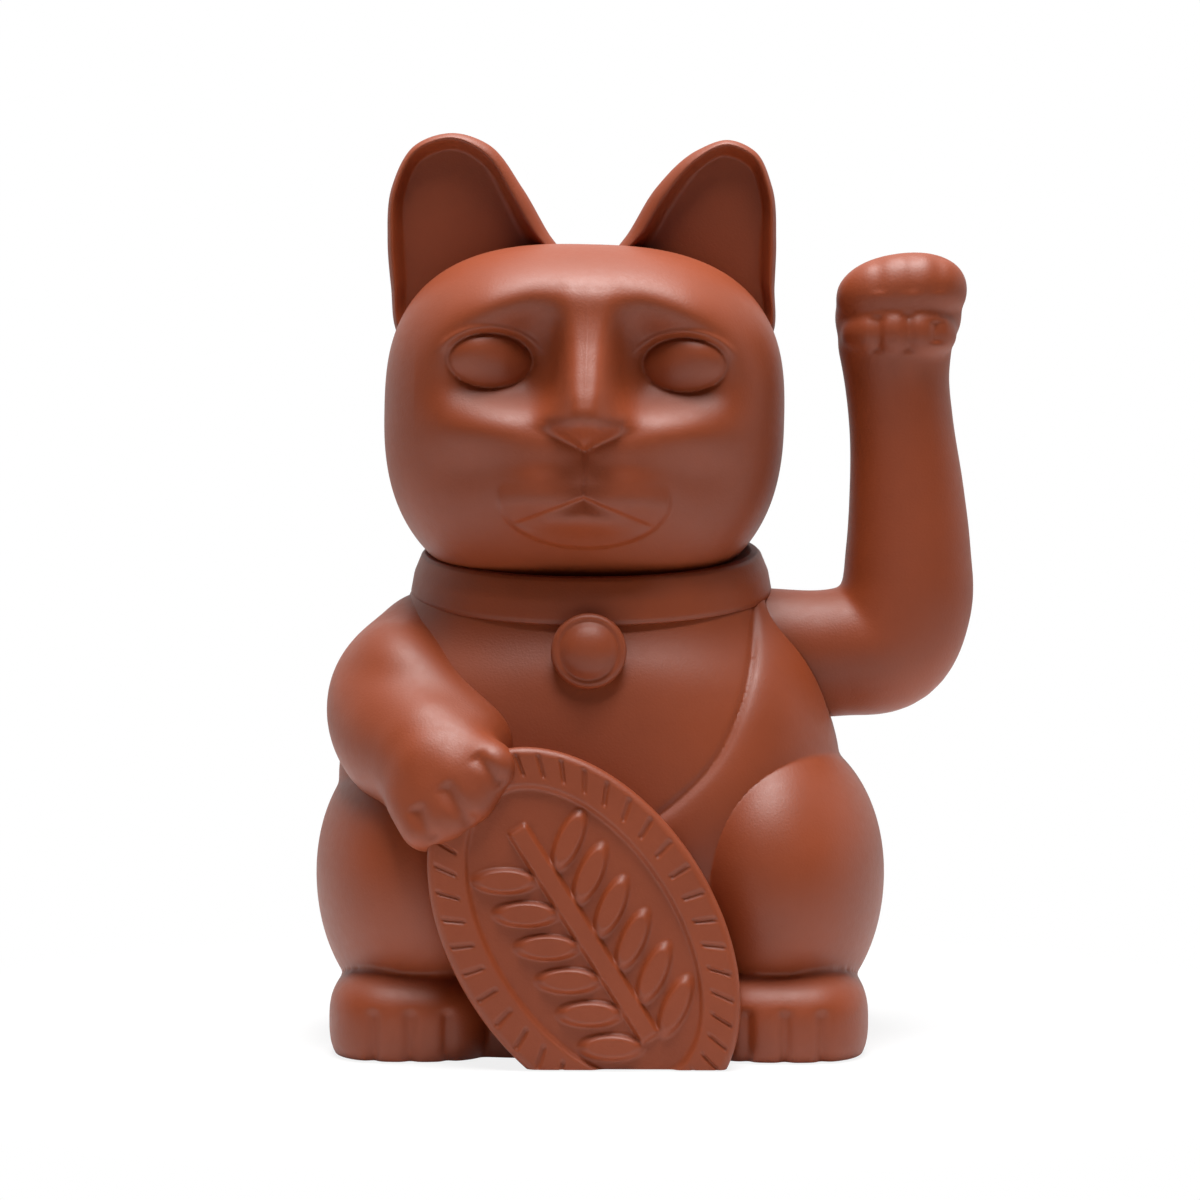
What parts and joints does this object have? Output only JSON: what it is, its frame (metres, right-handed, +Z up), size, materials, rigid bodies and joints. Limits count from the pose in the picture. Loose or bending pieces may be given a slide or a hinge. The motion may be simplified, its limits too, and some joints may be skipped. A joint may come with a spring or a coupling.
{
  "type": "lucky cat figurine",
  "caption": "Seated lucky cat figurine with a raised paw that rocks on a hidden battery-driven pendulum, and an oval coin held against its front.",
  "frame": {"origin": "on the flat underside of the base, below the middle of the body", "axes": "+Z up; the cat faces -Y; +X is the viewer's right, the side of the raised paw"},
  "size_m": [0.1097, 0.0907, 0.1501],
  "materials": {
    "terracotta_plastic": "satin moulded plastic",
    "dark_plastic": "moulded",
    "steel": "plated",
    "copper_wire": "enamelled wire",
    "ferrite": "sintered",
    "laminate": "board",
    "cell_jacket": "plain sleeve",
    "black_wire": "insulated",
    "red_wire": "insulated"
  },
  "bodies": {
    "figure": {"head_front_shell": "terracotta_plastic", "head_rear_shell": "terracotta_plastic", "body_front_shell": "terracotta_plastic", "body_rear_shell": "terracotta_plastic", "base_plate": "terracotta_plastic", "battery_cell": "cell_jacket", "spring_plate": "steel", "positive_contact": "steel", "battery_spring": "steel", "circuit_board": "laminate", "coil_bobbin": "dark_plastic", "coil_winding": "copper_wire", "driver_chip": "dark_plastic", "timing_capacitor": "steel", "lead_negative": "black_wire", "lead_positive": "red_wire", "base_screw_1": "steel", "base_screw_2": "steel", "base_screw_3": "steel", "base_screw_4": "steel", "board_screw_1": "steel", "board_screw_2": "steel"},
    "waving_arm": {"arm_front_shell": "terracotta_plastic", "arm_rear_shell": "terracotta_plastic", "pivot_axle": "steel", "axle_clip": "steel", "pendulum_lever": "dark_plastic", "pendulum_magnet": "ferrite", "counterweight": "steel"},
    "door": {"battery_door": "terracotta_plastic"}
  },
  "joints": [
    {"name": "arm_wave", "type": "hinge", "parent": "figure", "child": "waving_arm", "pos_m": [0.0275, 0.003, 0.0633], "axis": [1, 0, 0], "range_deg": [-20, 20]},
    {"name": "door_hinge", "type": "hinge", "parent": "figure", "child": "door", "pos_m": [-0.0125, -0.02295, 0.0013], "axis": [-1, 0, 0], "range_deg": [0, 100]}
  ]
}
